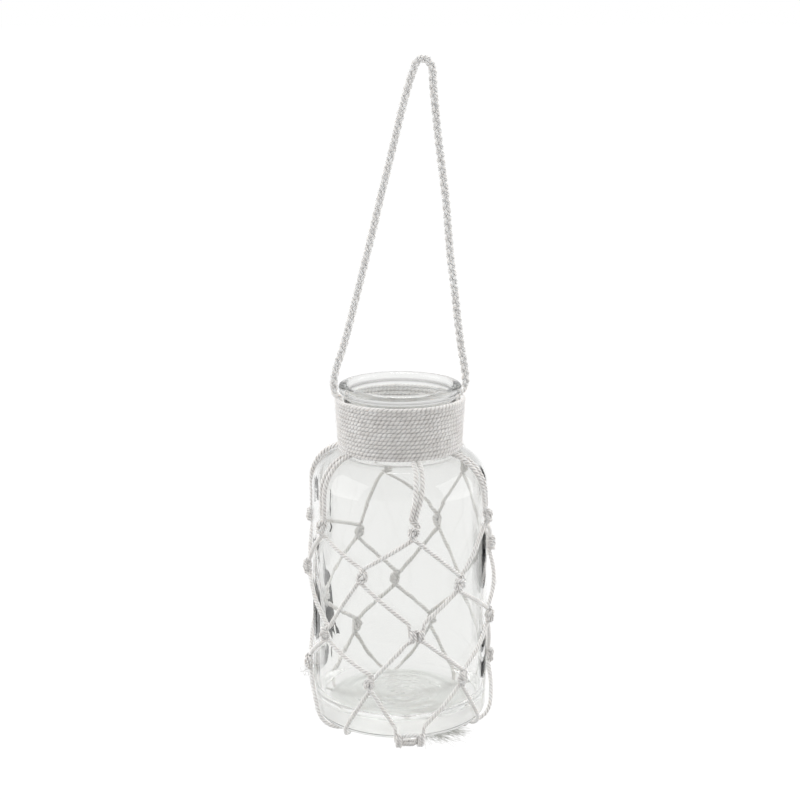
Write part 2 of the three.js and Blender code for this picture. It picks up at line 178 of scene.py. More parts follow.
# Paths
def ramp(value, start, span):
    """From 0 at a start to 1 a span later"""
    return np.clip((value - start) / span, 0, 1)


def turned(a, b, angle):
    """Two coordinates turned in their plane"""
    c, s = cos(angle), sin(angle)
    return a * c - b * s, a * s + b * c


def running(steps):
    """Running sum of steps, from 0"""
    return np.concatenate([[0], np.cumsum(steps)])


def step_lengths(path):
    return np.linalg.norm(np.diff(path, axis=0), axis=1)


def arc_lengths(path):
    """Length along a path at each of its points"""
    return running(step_lengths(path))


def at_lengths(path, run, lengths):
    """Points of a path at given lengths along it"""
    return np.stack([np.interp(lengths, run, path[:, k]) for k in range(3)], 1)


def evenly(path, step):
    """A path with points spaced evenly, about a step apart"""
    run = arc_lengths(path)
    count = max(2, int(round(run[-1] / step)) + 1)
    return at_lengths(path, run, np.linspace(0, run[-1], count))


def mixed(a, b, t, start, end):
    """From a to b while t goes from start to end"""
    return (end - t) / (end - start) * a + (t - start) / (end - start) * b


def spline(points, per_span=12):
    """A centripetal Catmull-Rom curve through points"""
    points = np.asarray(points, float)
    first = 2 * points[0] - points[1]
    last = 2 * points[-1] - points[-2]
    full = np.vstack([first, points, last])
    knots = running(step_lengths(full) ** 0.5)
    out = []
    for i in range(1, len(full) - 2):
        t0, t1, t2, t3 = knots[i - 1 : i + 3]
        t = np.linspace(t1, t2, per_span, endpoint=False)[:, None]
        a1 = mixed(full[i - 1], full[i], t, t0, t1)
        a2 = mixed(full[i], full[i + 1], t, t1, t2)
        a3 = mixed(full[i + 1], full[i + 2], t, t2, t3)
        b1 = mixed(a1, a2, t, t0, t2)
        b2 = mixed(a2, a3, t, t1, t3)
        out.append(mixed(b1, b2, t, t1, t2))
    out.append(full[-2:-1])
    return np.vstack(out)


def softened(path, rounds):
    """A path with its corners rounded and its ends kept"""
    path = path.copy()
    for _ in range(rounds):
        path[1:-1] += 0.5 * (0.5 * (path[:-2] + path[2:]) - path[1:-1])
    return path


def units(vectors):
    return vectors / np.linalg.norm(vectors, axis=1)[:, None]


def tangents(path):
    return units(np.gradient(path, axis=0))


def transported(path, start=(0, 1, 0.01)):
    """Tangents and two normals that turn with the path and never twist about it"""
    tangent = tangents(path)
    normal = np.cross(tangent[0], start)
    normal /= np.linalg.norm(normal)
    normals = [normal]
    for t in tangent[1:]:
        normal = normal - t * normal.dot(t)
        normal /= np.linalg.norm(normal)
        normals.append(normal)
    normals = np.array(normals)
    return tangent, normals, np.cross(tangent, normals)


# Meshes
class Builder:
    """Gathers tubes into one mesh, with the length along each and the turn round it as UV"""

    def __init__(self):
        self.points, self.quads, self.caps, self.uvs = [], [], [], []
        self.count = 0

    def tube(self, path, out, radius_out, radius_side, sides, start_uv=0.0):
        """One tube; out is the way its section faces, in which its radius may differ"""
        tangent = tangents(path)
        out = units(out - tangent * (out * tangent).sum(1)[:, None])
        side = np.cross(tangent, out)
        turn = np.linspace(0, TURN, sides, endpoint=False)
        n = len(path)
        ring = path[:, None]
        for radius, way, wave in (radius_out, out, np.cos(turn)), (radius_side, side, np.sin(turn)):
            radius = np.broadcast_to(radius, n)[:, None]
            ring = ring + (radius * wave)[..., None] * way[:, None]
        i, j = np.meshgrid(np.arange(n - 1), np.arange(sides), indexing="ij")
        k = (j + 1) % sides
        base = self.count
        row = i * sides + base
        quads = np.stack([row + j, row + k, row + sides + k, row + sides + j], -1)
        run = arc_lengths(path) + start_uv
        along = run[np.stack([i, i, i + 1, i + 1], -1)]
        share = np.stack([j, j + 1, j + 1, j], -1) / sides
        self.points.append(ring.reshape(-1, 3))
        self.quads.append(quads.reshape(-1, 4))
        self.uvs.append(np.stack([along, share], -1).reshape(-1, 2))
        self.caps.append((np.arange(sides)[::-1] + base, run[0]))
        self.caps.append((np.arange(sides) + base + (n - 1) * sides, run[-1]))
        self.count += n * sides

    def object(self, name, look):
        """The gathered tubes as one smooth mesh, closed at their ends"""
        quads = np.vstack(self.quads)
        points = np.vstack(self.points)
        uvs = [np.vstack(self.uvs)]
        loops = [quads.reshape(-1)]
        totals = [np.full(len(quads), 4)]
        for cap, run in self.caps:
            loops.append(cap)
            totals.append([len(cap)])
            uvs.append(np.stack([np.full(len(cap), run), np.zeros(len(cap))], 1))
        totals = np.concatenate(totals)
        loops = np.concatenate(loops)
        starts = running(totals)[:-1]
        mesh = bpy.data.meshes.new(name)
        mesh.vertices.add(len(points))
        mesh.vertices.foreach_set("co", placed(points).reshape(-1))
        mesh.loops.add(len(loops))
        mesh.loops.foreach_set("vertex_index", loops)
        mesh.polygons.add(len(totals))
        mesh.polygons.foreach_set("loop_start", starts)
        mesh.polygons.foreach_set("loop_total", totals)
        layer = mesh.uv_layers.new(name="cord")
        layer.data.foreach_set("uv", np.vstack(uvs).reshape(-1))
        mesh.polygons.foreach_set("use_smooth", np.ones(len(totals), bool))
        mesh.update(calc_edges=True)
        mesh.validate()
        mesh.materials.append(look)
        return in_scene(name, mesh)


# A ply's radius as a share of its cord's diameter, and the sides of its section
PLY_SHARE = 0.245
PLY_SIDES = 7


def uneven(run, phase):
    """A smooth wander between about -1 and 1 along a length"""
    slow = np.sin(run * 0.83 + phase * 2.1) + 0.8 * np.sin(run * 1.9 + phase * 4.7)
    return (slow + 0.7 * np.sin(run * 3.7 + phase * 1.3)) / 2


def twisted(
    builder, path, diameter, lay,
    plies=3, start_turn=0.0, sides=PLY_SIDES, ply_share=PLY_SHARE, wide=1.04, spin=None,
):
    """A cord of twisted plies along a path; diameter may change along it, lay is the length of
    one turn in diameters, wide is how much wider than deep each ply is, and spin, if given in
    place of lay, is the twist's turns at each point"""
    diameter = np.broadcast_to(diameter, len(path))
    _, normal, binormal = transported(path)
    run = arc_lengths(path)
    turns = spin
    if spin is None:
        # A thinner stretch is pulled tight, so its lay is shorter in step
        lays = lay * 0.5 * (diameter[1:] + diameter[:-1])
        turns = running(np.diff(run) / lays)
    ply_r = ply_share * diameter
    off = diameter / 2 - ply_r
    for ply in range(plies):
        wander = uneven(run, start_turn + ply * 2.2)
        swell = uneven(run, start_turn * 1.7 + ply * 1.1 + 3)
        angle = -TURN * turns + start_turn + TURN * ply / plies + 0.12 * wander
        out = np.cos(angle)[:, None] * normal + np.sin(angle)[:, None] * binormal
        thick = ply_r * (1 + 0.07 * swell)
        centre = path + (off * (1 + 0.05 * wander))[:, None] * out
        builder.tube(centre, out, thick, thick * wide, sides, ply * 3.7)


# Fibre ends: their lengths, how far they stand off the cord, and their radius
FIBRE_LENGTHS = (1.2, 3.2)
FIBRE_STANDS = (0.2, 0.75)
FIBRE_R = 0.035


def fuzz(builder, path, diameter, count, rng):
    """Loose fibre ends that stand off a cord's surface"""
    diameter = np.broadcast_to(diameter, len(path))
    tangent, normal, binormal = transported(path)
    picks = rng.integers(2, len(path) - 2, count)
    turn = rng.uniform(0, TURN, count)
    reach = rng.uniform(*FIBRE_LENGTHS, count) * rng.choice([-1, 1], count)
    lift = rng.uniform(*FIBRE_STANDS, count)
    lean = rng.uniform(-1, 1, count)
    t = np.linspace(0, 1, 4)[:, None]
    taper = FIBRE_R * (1.1 - 0.6 * t[:, 0])
    for i, a, long, high, aside in zip(picks, turn, reach, lift, lean):
        out = cos(a) * normal[i] + sin(a) * binormal[i]
        side = np.cross(tangent[i], out)
        start = path[i] + 0.46 * diameter[i] * out
        line = start + t * long * (tangent[i] + 0.8 * aside * side) + high * np.sin(t * 2.2) * out
        builder.tube(line, out[None] + 0 * line, taper, taper, 3)


# Materials
class Graph:
    """A node tree, with short ways to add nodes; a value is a constant or a node's output"""

    def __init__(self, owner):
        owner.use_nodes = True
        self.nodes = owner.node_tree.nodes
        self.links = owner.node_tree.links

    def fill(self, node, values):
        for name, value in values.items():
            if isinstance(value, bpy.types.NodeSocket):
                self.links.new(value, node.inputs[name])
            else:
                node.inputs[name].default_value = value

    def add(self, kind, values=None, **settings):
        """A new node; its settings come first, because they choose its sockets"""
        node = self.nodes.new("ShaderNode" + kind)
        for setting, value in settings.items():
            setattr(node, setting, value)
        self.fill(node, values or {})
        return node

    def math(self, operation, *values):
        return self.add("Math", dict(enumerate(values)), operation=operation).outputs[0]

    def split(self, vector):
        return self.add("SeparateXYZ", {0: vector}).outputs

    def noise(self, place, scale, detail):
        values = {"Scale": scale, "Detail": detail, "Vector": place}
        return self.add("TexNoise", values).outputs["Fac"]

    def ranged(self, value, low, high, **settings):
        values = {"From Min": low, "From Max": high, "Value": value}
        return self.add("MapRange", values, **settings).outputs["Result"]

    def colours(self, factor, first, second):
        values = {"Factor": factor, "A": first, "B": second}
        return self.add("Mix", values, data_type="RGBA").outputs["Result"]

    def shaders(self, factor, first, second):
        return self.add("MixShader", {"Fac": factor, 1: first, 2: second}).outputs[0]


def new_material(name):
    material = bpy.data.materials.new(name)
    graph = Graph(material)
    return material, graph, graph.nodes["Principled BSDF"]


YARNS_IN_PLY = 7
YARN_CLIMB = 0.35


def cord_material(name, light, dark, groove_shade, painted_inner_light=None):
    """Cotton: fine yarns that run round each ply, fibres, uneven dye, and painted shade in the
    grooves between the plies; the side that lies flat on the glass may be given a lighter
    colour, painted light that stands in for light coming through the cotton from behind"""
    material, graph, shader = new_material(name)
    cotton = {
        "Roughness": 0.92, "Specular IOR Level": 0.25,
        "Sheen Weight": 0.25, "Sheen Roughness": 0.6,
        # Light from behind comes through loose cotton
        "Subsurface Weight": 0.6, "Subsurface Scale": 0.0009,
        "Subsurface Radius": (1.0, 0.95, 0.9),
    }
    graph.fill(shader, cotton)
    along, turn, _ = graph.split(graph.add("UVMap", uv_map="cord").outputs["UV"])
    # Yarns: bands that climb round the ply
    climb = graph.math("MULTIPLY_ADD", along, YARN_CLIMB, turn)
    wave = graph.math("SINE", graph.math("MULTIPLY", climb, YARNS_IN_PLY * TURN))
    place = graph.add("TexCoord").outputs["Object"]
    fibre = graph.noise(place, 2600, 3)
    patch = graph.ranged(graph.noise(place, 160, 4), 0.3, 0.7)
    colour = graph.colours(patch, (*dark, 1), (*light, 1))
    # Painted shade: the grooves between the plies are coloured darker than their crests
    off_groove = graph.math("ABSOLUTE", graph.math("SUBTRACT", turn, 0.5))
    depth = graph.ranged(off_groove, 0.14, 0.42, interpolation_type="SMOOTHSTEP")
    colour = graph.colours(depth, (*groove_shade, 1), colour)
    # Painted light: the side that lies flat on the glass is coloured lighter, for light that comes
    # through the cotton from behind
    if painted_inner_light:
        flat = graph.add("Attribute", attribute_name="painted_inner_light").outputs["Fac"]
        colour = graph.colours(flat, colour, (*painted_inner_light, 1))
    height = graph.math("MULTIPLY_ADD", wave, 0.5, fibre)
    bump = graph.add("Bump", {"Strength": 0.6, "Distance": 0.00006, "Height": height})
    graph.fill(shader, {"Base Color": colour, "Normal": bump.outputs["Normal"]})
    return material


def glass_material(name, roughness, scatter=0.0):
    """Clear glass, faintly green where it is thick; scatter is how much its surface whitens"""
    material, graph, shader = new_material(name)
    clear_glass = {
        "Base Color": (0.905, 0.907, 0.898, 1), "Roughness": roughness,
        "IOR": 1.5, "Transmission Weight": 1.0,
    }
    graph.fill(shader, clear_glass)
    absorb = graph.add("VolumeAbsorption", {"Color": (0.72, 0.77, 0.73, 1), "Density": 1.5})
    surface = shader.outputs[0]
    if scatter:
        white = graph.add("BsdfDiffuse", {"Color": (0.92, 0.92, 0.9, 1)})
        surface = graph.shaders(scatter, surface, white.outputs[0])
    # Light that is on its way to the cords passes straight through
    path = graph.add("LightPath").outputs
    lighting = graph.math("MAXIMUM", path["Is Shadow Ray"], path["Is Diffuse Ray"])
    clear = graph.add("BsdfTransparent")
    surface = graph.shaders(lighting, surface, clear.outputs[0])
    output = graph.nodes["Material Output"]
    graph.fill(output, {"Surface": surface, "Volume": absorb.outputs["Volume"]})
    return material


def fibre_material():
    """Loose cotton yarns and fibre ends, a little uneven in tone"""
    material, graph, shader = new_material("loose_fibres")
    patch = graph.noise(graph.add("TexCoord").outputs["Object"], 420, 3)
    tone = graph.add("ValToRGB", {"Fac": patch})
    low, high = tone.color_ramp.elements
    low.position = 0.35
    low.color = (0.42, 0.42, 0.39, 1)
    high.position = 0.6
    high.color = (0.84, 0.83, 0.81, 1)
    loose = {"Roughness": 0.9, "Specular IOR Level": 0.2, "Sheen Weight": 0.3}
    graph.fill(shader, {"Base Color": tone.outputs["Color"], **loose})
    return material


# Each cotton's darkest colour is painted shade for the grooves between its plies
net_look = cord_material(
    "net_cotton", light=(0.88, 0.87, 0.85), dark=(0.76, 0.74, 0.72), groove_shade=(0.36, 0.33, 0.32)
)
# The winding's near-white colour is painted light on the side that lies flat on the glass
wrap_look = cord_material(
    "winding_cotton", light=(0.80, 0.785, 0.77), dark=(0.67, 0.65, 0.63), groove_shade=(0.34, 0.31, 0.30),
    painted_inner_light=(0.95, 0.94, 0.92),
)
loop_look = cord_material(
    "loop_cotton", light=(0.90, 0.89, 0.87), dark=(0.80, 0.78, 0.76), groove_shade=(0.64, 0.61, 0.59)
)
fibre_look = fibre_material()
glass_look = glass_material("clear_glass", 0.0)
worn_glass_look = glass_material("stippled_glass", 0.3, scatter=0.4)

# Hanging loop: three strands plaited, each of twisted plies
PLAIT_PITCH = 13.2
PLAIT_SPREAD = 1.2
PLAIT_DEPTH = 0.7
STRAND_D = 2.5
STRAND_LAY = 3.0
STRANDS = 3


def plait(path):
    """Strands that pass over and under each other in turn, side by side in the loop's plane"""
    builder = Builder()
    path = evenly(path, 0.5)
    _, wide, deep = transported(path, (0, 1, 0))
    run = arc_lengths(path)
    for strand in range(STRANDS):
        phase = TURN * (run / PLAIT_PITCH + strand / STRANDS)
        centre = path + (PLAIT_SPREAD * np.sin(phase))[:, None] * wide
        centre += (PLAIT_DEPTH * np.sin(2 * phase))[:, None] * deep
        start = strand * 1.3
        twisted(builder, centre, STRAND_D, STRAND_LAY, start_turn=start, sides=6, ply_share=0.31)
    return builder


loop_path = spline([(x, 0, z) for x, z in LOOP_ROUTE])
loop = plait(loop_path).object("loop_plait", loop_look)
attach(loop, "loop")
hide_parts("hanging_loop")


# Glass jar
def arc_points(middle_r, middle_z, radius, start, end, steps):
    """An arc of the jar's outline, as radii and heights; angles in degrees, 0 outward"""
    angles = np.linspace(start, end, steps + 1) * RAD
    return [(middle_r + radius * cos(a), middle_z + radius * sin(a)) for a in angles]


def flattened(value):
    """A sine or cosine pushed outward, which gives a circle flatter faces"""
    return copysign(abs(value) ** LIP_FLATNESS, value)


INNER_HEEL_R = HEEL_R + 2


def jar_profile():
    """The jar's outline, as radii and heights: up the outside, over the lip, down the inside"""
    shoulder_r = BODY_R - SHOULDER_R
    lip_z = NECK_TOP + LIP_H / 2
    lip_inner = NECK_TOP_R - WALL_T
    foot_r = neck_radius(SHOULDER_TOP) + NECK_FILLET_R
    slope = acos((foot_r - shoulder_r) / SHOULDER_R) / RAD
    foot_z = BODY_H + SHOULDER_R * sin(slope * RAD) + NECK_FILLET_R
    inner_r = BODY_R - WALL_T
    floor_r = inner_r - INNER_HEEL_R
    heel_z = FLOOR_T + INNER_HEEL_R
    lip_middle = (LIP_R + lip_inner) / 2
    lip_half = (LIP_R - lip_inner) / 2
    # A rolled lip: a squashed circle with flatter faces
    lip_points = []
    for angle in np.linspace(-60, 240, 37):
        across = lip_half * flattened(cos(angle * RAD))
        above = LIP_H / 2 * flattened(sin(angle * RAD))
        lip_points.append((lip_middle + across, lip_z + above))
    # The thick floor's surface: a little higher in the middle, with a faint ripple
    floor = []
    for r in np.linspace(floor_r, 0, 30):
        ripple = 0.22 * sin(r * 0.8) * min(1, r / 6)
        floor.append((r, FLOOR_T + 1.1 * (1 - (r / 37.5) ** 2) + ripple))
    return (
        [(0, 0.9), (12, 0.8), (24, 0.45), (34, 0.1)]
        + arc_points(BODY_R - HEEL_R, HEEL_R, HEEL_R, -90, 0, 14)
        + [(BODY_R, z) for z in np.linspace(HEEL_R + 6, BODY_H - 6, 18)]
        + arc_points(shoulder_r, BODY_H, SHOULDER_R, 0, slope, 18)
        + arc_points(foot_r, foot_z, NECK_FILLET_R, -90, -180, 5)[1:]
        + [(neck_radius(z), z) for z in np.linspace(SHOULDER_TOP + 5, NECK_TOP - 2.2, 8)]
        + [(NECK_TOP_R + 0.1, NECK_TOP - 0.9), (NECK_TOP_R + 0.7, NECK_TOP - 0.1)]
        + lip_points
        + [(neck_radius(z) - WALL_T, z) for z in np.linspace(NECK_TOP - 3, SHOULDER_TOP + 4, 8)]
        + [(NECK_FOOT_R - WALL_T + 0.5, SHOULDER_TOP - WALL_T + 2.6)]
        + [(NECK_FOOT_R - WALL_T + 1.6, SHOULDER_TOP - WALL_T + 1.0)]
        + arc_points(shoulder_r, BODY_H, SHOULDER_R - WALL_T, 86, 0, 18)
        + [(inner_r, z) for z in np.linspace(BODY_H - 6, heel_z + 6, 34)]
        + arc_points(floor_r, heel_z, INNER_HEEL_R, 0, -88, 10)
        + floor[1:]
    )


# Finer steps round the front left, where the flow lines are
JAR_AZ = np.concatenate([np.arange(-95, -45, 0.5), np.linspace(-45, 265, 190, endpoint=False)])


def wall_waves(radius, azimuth, height, inside):
    """How far pressed glass strays from a true circle: long waves, and on the inner face fine
    upright flow lines that come and go"""
    a = azimuth * RAD
    size = 0.3 if inside else 0.05
    oval = 0.5 * np.sin(2 * a + 0.7 + height * 0.012)
    wave = size * (oval + 0.35 * np.sin(5 * a + 2.0 - height * 0.02))
    if inside:
        middle = ramp(height, 14, 12) * ramp(-height, -150, 14)
        slant = -83 + 23 * ramp(-height, -100, 50)
        aside = (azimuth + 180) % 360 - 180 - slant
        half = np.interp(height, [40, 50, 80, 104], [6, 8, 8, 3])
        left = np.exp(-((aside / half) ** 4))
        left = left * ramp(height, 42, 6) * ramp(-height, -108, 8)
        b = aside * RAD
        lines = np.sin(71 * b + 0.6 * np.sin(height * 0.05)) + 0.5 * np.sin(127 * b + 1.3)
        wave = wave + middle * (0.006 * np.sin(41 * a) + 0.035 * left * lines)
    return wave * ramp(radius, 20, 20)


def floor_waves(radius, azimuth, height):
    """Swirls in the surface of the jar's thick floor"""
    if not 6 < height < 14 or radius > 40:
        return 0 * azimuth
    a = azimuth * RAD
    wave = np.sin(3 * a + radius * 0.31) + 0.7 * np.sin(5 * a - radius * 0.52 + 1)
    wave = wave + 0.5 * np.sin(8 * a + radius * 0.7)
    return 0.13 * min(1, radius / 12) * wave


# Rings of the outline, from the middle of the base, that make the stippled, dull underside
UNDERSIDE_RINGS = 5


def jar_object():
    profile = jar_profile()
    inner_start = next(i for i, (r, z) in enumerate(profile) if z > NECK_TOP + LIP_H * 0.9)
    points = [around(0, 0, profile[0][1])]
    rings = profile[1:-1]
    for i, (r, z) in enumerate(rings):
        moved = r + wall_waves(r, JAR_AZ, z, i >= inner_start)
        lifted = z + floor_waves(r, JAR_AZ, z)
        points.append(around(moved, JAR_AZ, lifted))
    points.append(around(0, 0, profile[-1][1]))
    points = np.vstack(points)
    n = len(JAR_AZ)
    last = 1 + (len(rings) - 1) * n
    steps = [(j, (j + 1) % n) for j in range(n)]
    faces = [(0, 1 + k, 1 + j) for j, k in steps]
    for a in range(1, last, n):
        faces += [(a + j, a + k, a + n + k, a + n + j) for j, k in steps]
    faces += [(last + j, last + k, len(points) - 1) for j, k in steps]
    made = faced("jar_glass", placed(points).tolist(), faces)
    made.data.polygons.foreach_set("use_smooth", np.ones(len(faces), bool))
    under = 1 + UNDERSIDE_RINGS * n
    dull = np.array([max(face) < under for face in faces])
    made.data.polygons.foreach_set("material_index", dull.astype(int))
    made.data.update()
    made.data.materials.append(glass_look)
    made.data.materials.append(worn_glass_look)
    return made


jar = jar_object()
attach(jar, "vase")
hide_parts("glass_jar")


# Knots, tied from two cords one unit thick: points in each, and how far out its ends are held
KNOT_POINTS = 110
KNOT_REACH = 9.0


def loose_knot():
    """Two cords side by side in one open overhand knot"""
    t = np.linspace(-2.15, 2.15, 600)
    middle = np.stack([t**4 - 4 * t**2 + 2, 0.72 * (t**3 - 3 * t), 0.22 * t**5 - 2.2 * t], 1) * 1.45
    middle -= middle.mean(0)
    middle = middle[::-1]
    _, normal, _ = transported(middle, (0, 1, 0))
    cords = []
    for side in (-1, 1):
        body = middle + side * 0.5 * normal
        top = np.array([side * 0.07 * KNOT_REACH, 0, KNOT_REACH])
        bottom = top * [1, 1, -1]
        share = np.linspace(0, 1, 40)[:, None]
        lead = top + (body[0] - top) * share[:-1]
        tail = body[-1] + (bottom - body[-1]) * share[1:]
        path = np.vstack([lead, body, tail])
        run = arc_lengths(path)
        cords.append(at_lengths(path, run, np.linspace(0, run[-1], KNOT_POINTS)))
    return np.concatenate(cords)


# The cords shorten by a little in each step until they are as taut as this
TIE_STEPS = 132
TIE_PASSES = 16
TIE_SHORTER = 0.994
TIE_TAUT = 1.12
# Points at each end that needn't stay side by side with the other cord
TIE_FREE_ENDS = 14


def tied_knot(half_depth):
    """The knot pulled tight: the cords shorten, push each other apart and stay side by side"""
    p = loose_knot()
    m = KNOT_POINTS
    rests = np.full(2, step_lengths(p[:m]).mean())
    ii, jj = np.triu_indices(2 * m, 1)
    same = (ii < m) == (jj < m)
    ends = np.array([0, m - 1, m, 2 * m - 1])
    fixed = p[ends].copy()
    links = np.concatenate([np.arange(m - 1), np.arange(m - 1) + m])
    core = slice(TIE_FREE_ENDS, m - TIE_FREE_ENDS)
    for step in range(TIE_STEPS):
        pulls = np.linalg.norm(np.diff(p.reshape(2, m, 3), axis=1), axis=2).mean(1) / rests
        rests *= np.where((pulls < TIE_TAUT) | (step < 20), TIE_SHORTER, 1.0)
        wants = np.repeat(rests, m - 1)
        near = same & (np.abs(ii - jj) * rests.max() < 1.45)
        ci, cj = ii[~near], jj[~near]
        apart = p[ci] - p[cj]
        close = (apart * apart).sum(1) < 2.2
        ci, cj = ci[close], cj[close]
        room = max(half_depth, 3.2 - 0.02 * step)
        for _ in range(TIE_PASSES):
            q = p.reshape(2, m, 3)
            q[:, 1:-1] += 0.05 * (0.5 * (q[:, :-2] + q[:, 2:]) - q[:, 1:-1])
            for parity in (0, 1):
                a = links[parity::2]
                d = p[a + 1] - p[a]
                length = np.linalg.norm(d, axis=1) + 1e-9
                move = (0.5 * (length - wants[parity::2]) / length)[:, None] * d
                np.add.at(p, a, move)
                np.add.at(p, a + 1, -move)
            across = q[1] - q[0]
            wide = np.linalg.norm(across, axis=1)
            pull = (0.25 * np.maximum(wide - 1.05, 0) / wide)[:, None] * across
            q[0, core] += pull[core]
            q[1, core] -= pull[core]
            apart = p[ci] - p[cj]
            distance = np.sqrt((apart * apart).sum(1)) + 1e-9
            hit = distance < 1.0
            hi, hj = ci[hit], cj[hit]
            push = (0.5 * (1.0 - distance[hit]) / distance[hit])[:, None] * apart[hit]
            moved = np.zeros_like(p)
            touches = np.zeros(len(p))
            np.add.at(moved, hi, push)
            np.add.at(moved, hj, -push)
            np.add.at(touches, hi, 1)
            np.add.at(touches, hj, 1)
            p += moved / np.maximum(touches, 1)[:, None] ** 0.7
            p[:, 1] = np.clip(p[:, 1], -room, room)
            p[ends] = fixed
    return p.reshape(2, m, 3)


# Millimetres to a unit of the tied knots, the cord's thickness in them, and their half height
KNOT_SCALE = 1.62
KNOT_CORD_D = 2.1
KNOT_CORE = 2.6


def knot_core(half_depth):
    """Each cord's way through the knot, in cord thicknesses: right, off the glass, up"""
    both = tied_knot(half_depth)
    whole = both.reshape(-1, 3)
    inner = np.abs(whole[:, 2]) < 2
    middle = 0.5 * (whole[inner].min(0) + whole[inner].max(0))
    cores = []
    for path in both:
        path = path - [middle[0], 0, middle[2]]
        inside = np.abs(path[:, 2]) < KNOT_CORE
        first = np.argmax(inside)
        last = len(path) - np.argmax(inside[::-1])
        cores.append(softened(path[first:last], 2))
    low = min(core[:, 1].min() for core in cores)
    for core in cores:
        core[:, 1] -= low
    return cores


knot_shapes = [knot_core(1.0), knot_core(1.15)]


def knot_way(row, place, hand):
    """One cord's way through a knot, in millimetres: right, off the glass, up, top first"""
    shape = knot_shapes[(row + place) % 2]
    mirrored = (row * 2 + place) % 3 == 1
    cord = int((hand > 0) != mirrored)
    way = shape[cord] * [-1 if mirrored else 1, 1, 1]
    if (row + 2 * place) % 4 >= 2:
        # The same knot tied upside down
        way = way[::-1] * [1, 1, -1]
    tilt = 7 * ((row * 5 + place * 3) % 5 - 2) * RAD
    x, z = turned(way[:, 0], way[:, 2], tilt)
    return np.stack([x, way[:, 1], z], 1) * KNOT_SCALE


# Half width, wraps and height of the two wide knots at the front, by row
WIDE_KNOTS = {2: (1.9, 2.1, 2.5), 4: (5.5, 1.9, 3.3)}
WIDE_KNOT_CORD_D = 2.3


def wide_knot_way(row, hand):
    """A loose, wide knot: each cord wraps its own side, and their ends lie as two bars"""
    half, wraps, high = WIDE_KNOTS[row]
    turn = np.linspace(-0.35, wraps, 36) * TURN
    share = (turn - turn[0]) / (turn[-1] - turn[0])
    x = half + 1.5 - 2.8 * share + 0.25 * np.sin(turn * 0.7 + hand)
    z = high * np.cos(turn) * (1 + 0.12 * hand * np.sin(turn * 0.5))
    wrap = np.stack([x, 2.2 + 1.7 * np.sin(turn), z], 1)
    bar_z = (1.0 if hand < 0 else -1.0) * high
    bar = [
        (half * 0.45, 2.4, bar_z), (0.0, 2.3, bar_z * 1.06), (-half * 0.55, 2.2, bar_z * 0.9),
        (-half - 0.3, 1.9, bar_z * 0.55), (-half - 1.2, 1.3, -0.4),
    ]
    if row == 4:
        out = [(-4.9, 0.5, -1.8), (-2.6, 0.5, -3.6), (0.2, 0.5, -6.6)]
    else:
        out = [(-half, 0.5, -2.2), (0.6, 0.4, -3.4), (4.2, 0.4, -4.8), (6.2, 0.4, -6.4)]
    top = (half + 2.2, 1.3, 6.4)
    points = np.vstack([[top], wrap[::3], bar, out]) * [hand, 1, 1]
    return evenly(spline(points, 8), 0.5)


# Net
def on_glass(azimuth, run, lift):
    """Points at azimuths in degrees, lengths along the glass from the middle of the base,
    and distances off it"""
    azimuth, run, lift = np.broadcast_arrays(azimuth, np.asarray(run, float), lift)
    heel = (run - BASE_RUN) / HEEL_R
    shoulder = (run - WALL_RUN) / SHOULDER_R
    on_base, on_heel, on_wall = run < BASE_RUN, run < HEEL_RUN, run < WALL_RUN
    pick = [on_base, on_heel & ~on_base, on_wall & ~on_heel]
    radius = np.select(
        pick,
        [run, BASE_RUN + (HEEL_R + lift) * np.sin(heel), BODY_R + lift],
        BODY_R - SHOULDER_R + (SHOULDER_R + lift) * np.cos(shoulder),
    )
    height = np.select(
        pick,
        [-lift, HEEL_R - (HEEL_R + lift) * np.cos(heel), HEEL_R + run - HEEL_RUN],
        BODY_H + (SHOULDER_R + lift) * np.sin(shoulder),
    )
    return around(radius, azimuth, height)


def knot_run(row, place):
    """A knot's length along the glass from the middle of the base"""
    if row == 4:
        return LAST_KNOT_RUN[place]
    z = BODY_H - FIRST_ROW_DROP - row * ROW_PITCH + KNOT_RISE[row][place]
    return HEEL_RUN + z - HEEL_R


def unwrap_near(angle, near):
    """The same angle, at the turn that lies nearest to another"""
    return angle + 360 * round((near - angle) / 360)


def local_radius(run):
    """Radius at which a sideways step on the glass is turned into an azimuth"""
    on_heel = BASE_RUN + (run - BASE_RUN) * 0.64
    return np.clip(np.where(run < HEEL_RUN, on_heel, BODY_R), 6, BODY_R + 1)


# Off the glass to a net cord's middle, half a pair's spacing, and the tuck under the winding
CORD_LIFT = 0.15 + NET_CORD_D / 2
PAIR_HALF = 1.35
TUCK_TOP = NECK_TOP - 16
TUCKED_D = 2.0


